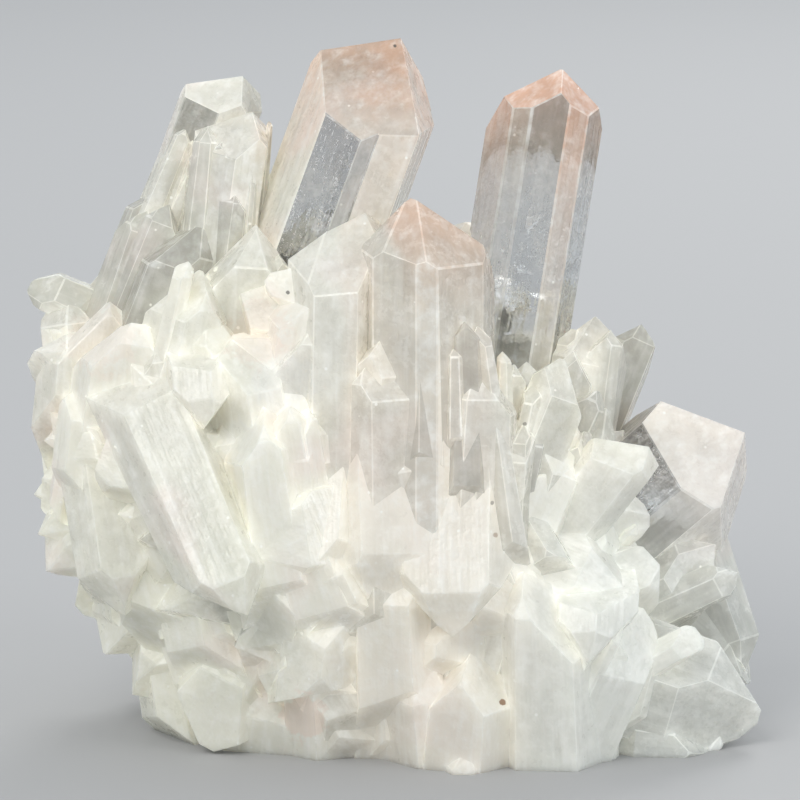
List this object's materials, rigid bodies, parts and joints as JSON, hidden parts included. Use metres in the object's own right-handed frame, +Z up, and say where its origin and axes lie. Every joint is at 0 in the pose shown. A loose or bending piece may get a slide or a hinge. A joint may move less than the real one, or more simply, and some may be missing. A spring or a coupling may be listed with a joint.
{
  "type": "quartz cluster",
  "caption": "Cluster of clear and milky quartz points grown together in one piece, sawn flat underneath so that it stands by itself.",
  "frame": {"origin": "under the middle of the cluster's bounding box, on the surface it stands on", "axes": "+Z up, -Y towards the viewer of the picture, +X to the viewer's right"},
  "size_m": [0.11, 0.0776, 0.1031],
  "materials": {
    "quartz": "gloss"
  },
  "bodies": {
    "root": {"quartz_cluster": "quartz"}
  },
  "joints": []
}
